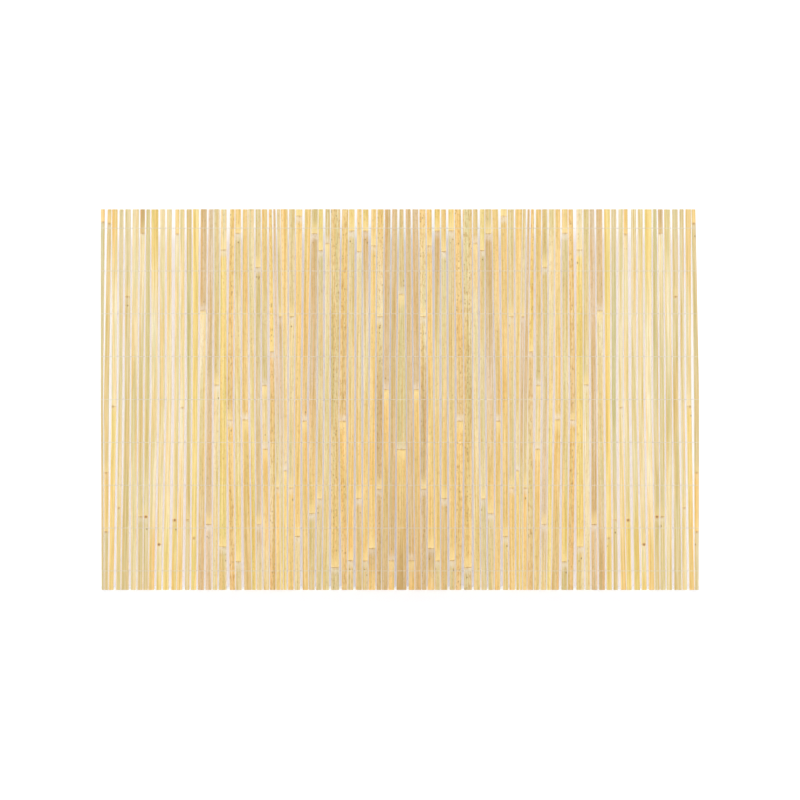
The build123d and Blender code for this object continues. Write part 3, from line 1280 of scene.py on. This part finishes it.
@dataclass
class BindingWire:
    """The rows of wire that bind the slats: two strands, which cross in every gap that has room."""

    slats: list[Slat]
    finish: GalvanisedWire = field(default_factory=GalvanisedWire)
    crossing_gap_mm: float = 2.2  # the strands cross in gaps that are wider than this
    # Points of a crossing: shares of the way over the gap and of the way through the mat
    crossing: tuple[tuple[float, float], ...] = ((0.14, 0.12), (0.5, 0.5), (0.86, 0.88))
    touch_mm: float = 0.05  # a strand lies this far off the slats
    rim_mm: float = 0.8  # and bends this far inside their edges
    bevel_resolution: int = 1
    spline_resolution: int = 2

    def build(self) -> list[bpy.types.Object]:
        """Build every row.

        Returns:
            The pieces.
        """
        material = self.finish.material()
        rows = sorted(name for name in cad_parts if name.startswith("binding_wire"))
        return [self.row(node, material) for node in rows]

    def row(self, node: str, material: bpy.types.Material) -> bpy.types.Object:
        """Build one row.

        Args:
            node: The row's node.
            material: The wire's finish.

        Returns:
            The piece.
        """
        low, high = (np.array(corner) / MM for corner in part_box(node))
        radius = (high[2] - low[2]) / 2
        height = (high[2] + low[2]) / 2
        curve = bpy.data.curves.new(f"{node}_line", "CURVE")
        curve.dimensions = "3D"
        curve.bevel_depth = radius * MM
        curve.bevel_resolution = self.bevel_resolution
        curve.use_fill_caps = True
        for first_front in (True, False):
            route = self.strand(low[0], high[0], height, radius, first_front)
            spline = curve.splines.new("NURBS")
            spline.points.add(len(route) - 1)
            spline.points.foreach_set("co", np.c_[route * MM, np.ones(len(route))].ravel())
            spline.order_u = 3
            spline.use_endpoint_u = True
            spline.resolution_u = self.spline_resolution
        carrier = bpy.data.objects.new(f"{node}_line", curve)
        mesh = bpy.data.meshes.new_from_object(carrier)
        mesh.name = f"{node}_twisted"
        bpy.data.objects.remove(carrier)
        bpy.data.curves.remove(curve)
        mesh.materials.clear()
        mesh.materials.append(material)
        for polygon in mesh.polygons:
            polygon.use_smooth = True
        piece = bpy.data.objects.new(f"{node}_twisted", mesh)
        bpy.context.scene.collection.objects.link(piece)
        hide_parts(node)
        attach(piece, BODY)
        return piece

    def strand(self, start: float, end: float, height: float, radius: float, front: bool) -> np.ndarray:
        """Route of one strand, from slat to slat.

        Args:
            start: Where the wire starts along the fence, in millimetres.
            end: Where it ends.
            height: The row's height.
            radius: The wire's radius.
            front: True if it starts in front of the slats.

        Returns:
            The route's points in millimetres.
        """
        lift = radius + self.touch_mm
        beside = radius * (1.0 if front else -1.0)
        route = []
        in_front = front
        for index, slat in enumerate(self.slats):
            left = max(float(slat.at(slat.left, height)), start)
            right = min(float(slat.at(slat.right, height)), end)
            crown = float(slat.at(slat.crown, height)) - lift
            curve = float(slat.at(slat.radius, height))
            shoulder = crown + curve - math.sqrt(curve**2 - ((right - left) / 2) ** 2)
            behind = float(slat.at(slat.back, height)) + lift
            low, high = (shoulder, crown) if in_front else (behind, behind)
            rim = min(self.rim_mm, (right - left) / 4)
            middle = (left + right) / 2
            route.append((left + rim, low, height))
            route.append((middle, high, height))
            route.append((right - rim, low, height))
            if index + 1 == len(self.slats):
                break
            following = self.slats[index + 1]
            gap_end = float(following.at(following.left, height))
            if gap_end - right > self.crossing_gap_mm:
                across = behind if in_front else shoulder
                for share, depth in self.crossing:
                    x = right + (gap_end - right) * share
                    y = low + (across - low) * depth
                    z = height + beside * math.sin(math.pi * share)
                    route.append((x, y, z))
                in_front = not in_front
        return np.array(route)


@dataclass
class Studio:
    """A white paper floor and wall with shade painted near the fence, soft light from the front, and the
    camera.
    """

    frame_width_m: float = 2.1
    lens_mm: float = 85.0
    sensor_mm: float = 36.0
    aim_height_m: float = 0.4987
    paper_size_m: float = 60.0
    wall_gap_m: float = 0.09
    # The floor's own light, and a darker own light around the fence's foot that paints a shade there
    floor_light: str = "#A08CAA"
    floor_shade: str = "#846A88"
    floor_painted_shade_reach_m: float = 1.6
    floor_rim_centre_m: float = 0.1
    floor_rim_m: tuple[float, float] = (0.05, 0.16)
    key_height_deg: float = 36.0
    back_height_deg: float = 60.0
    lamp_angle_deg: float = 26.0
    key_strength: float = 1.42
    back_strength: float = 0.85
    ambient: float = 0.5
    sight_m: float = 200.0

    def build(self) -> None:
        """Set up the whole studio."""
        self.paper()
        self.lamps()
        self.world()
        self.camera()
        bpy.context.scene.view_settings.view_transform = "Standard"

    def paper(self) -> None:
        """Lay the floor and hang the wall, which only shows from its front."""
        floor_paper = StudioPaper(
            "paper_floor_matt_white", False,
            own_light=self.floor_light, painted_shade_light=self.floor_shade, painted_shade_reach_m=self.floor_painted_shade_reach_m,
            rim_axis="Y", rim_centre_m=self.floor_rim_centre_m, rim_m=self.floor_rim_m,
        )
        floor = self.sheet("studio_floor", floor_paper, 0.0)
        wall = self.sheet("studio_wall", StudioPaper("paper_wall_matt_white", True), math.pi / 2)
        wall.visible_shadow = False
        wall.visible_diffuse = False

    def sheet(self, name: str, finish: StudioPaper, tilt: float) -> bpy.types.Object:
        """Make a large sheet of paper.

        Args:
            name: The sheet's name.
            finish: Its paper.
            tilt: 0 for the floor, or a right angle for the wall behind the fence.

        Returns:
            The sheet in its place.
        """
        half = self.paper_size_m / 2
        bm = bmesh.new()
        bmesh.ops.create_grid(bm, x_segments=1, y_segments=1, size=half)
        bmesh.ops.rotate(bm, cent=(0, 0, 0), matrix=Matrix.Rotation(tilt, 3, "X"), verts=bm.verts)
        if tilt:
            bmesh.ops.translate(bm, vec=(0.0, self.wall_gap_m, half), verts=bm.verts)
        mesh = bpy.data.meshes.new(name)
        bm.to_mesh(mesh)
        bm.free()
        mesh.materials.append(finish.material())
        made = bpy.data.objects.new(name, mesh)
        bpy.context.scene.collection.objects.link(made)
        return made

    def lamps(self) -> None:
        """Hang a broad key lamp in front, over the camera, and a weaker one behind the fence."""
        for name, side, height_deg, strength in (
            ("key", 1.0, self.key_height_deg, self.key_strength),
            ("back", -1.0, self.back_height_deg, self.back_strength),
        ):
            lamp = bpy.data.lights.new(f"{name}_lamp", "SUN")
            lamp.energy = strength
            lamp.angle = math.radians(self.lamp_angle_deg)
            made = bpy.data.objects.new(f"{name}_lamp", lamp)
            height = math.radians(height_deg)
            way = Vector((0.0, side * math.cos(height), -math.sin(height)))
            made.rotation_euler = way.to_track_quat("-Z", "Y").to_euler()
            bpy.context.scene.collection.objects.link(made)

    def world(self) -> None:
        """Light the studio softly from all sides, and show white behind it."""
        world = bpy.data.worlds.new("studio_world")
        world.use_nodes = True
        bpy.context.scene.world = world
        tree = world.node_tree
        soft = tree.nodes["Background"]
        soft.inputs["Color"].default_value = linear("#FFFFFF")
        soft.inputs["Strength"].default_value = self.ambient
        white = add_node(tree, "Background", {}, {"Color": linear("#FFFFFF"), "Strength": 1.0})
        both = add_node(
            tree, "MixShader", {}, {0: seen_directly(tree), 1: soft.outputs["Background"], 2: white}
        )
        tree.links.new(both, tree.nodes["World Output"].inputs["Surface"])

    def camera(self) -> None:
        """Stand the camera straight in front of the fence, at half its height."""
        lens = bpy.data.cameras.new("front_camera")
        lens.sensor_width = self.sensor_mm
        lens.lens = self.lens_mm
        lens.clip_end = self.sight_m
        camera = bpy.data.objects.new("front_camera", lens)
        distance = self.lens_mm / self.sensor_mm * self.frame_width_m
        camera.location = (0.0, CAD_BOX[0].y - distance, self.aim_height_m)
        camera.rotation_euler = (math.pi / 2, 0.0, 0.0)
        bpy.context.scene.collection.objects.link(camera)
        bpy.context.scene.camera = camera


def corners(box: tuple[Vector, Vector]) -> list[list[float]]:
    """A box's corners as plain lists of numbers."""
    return [[float(value) for value in corner] for corner in box]


def main() -> None:
    """Build the fence and its studio, and log how many faces each piece came out with."""
    logging.basicConfig(level=logging.INFO, format="%(name)s: %(message)s")
    slat_mat = SlatMat()
    pieces = slat_mat.build()
    pieces += BindingWire(slat_mat.slats).build()
    for piece in pieces:
        LOG.info("%s: %d faces", piece.name, len(piece.data.polygons))
    Studio().build()


if __name__ == "__main__":
    main()
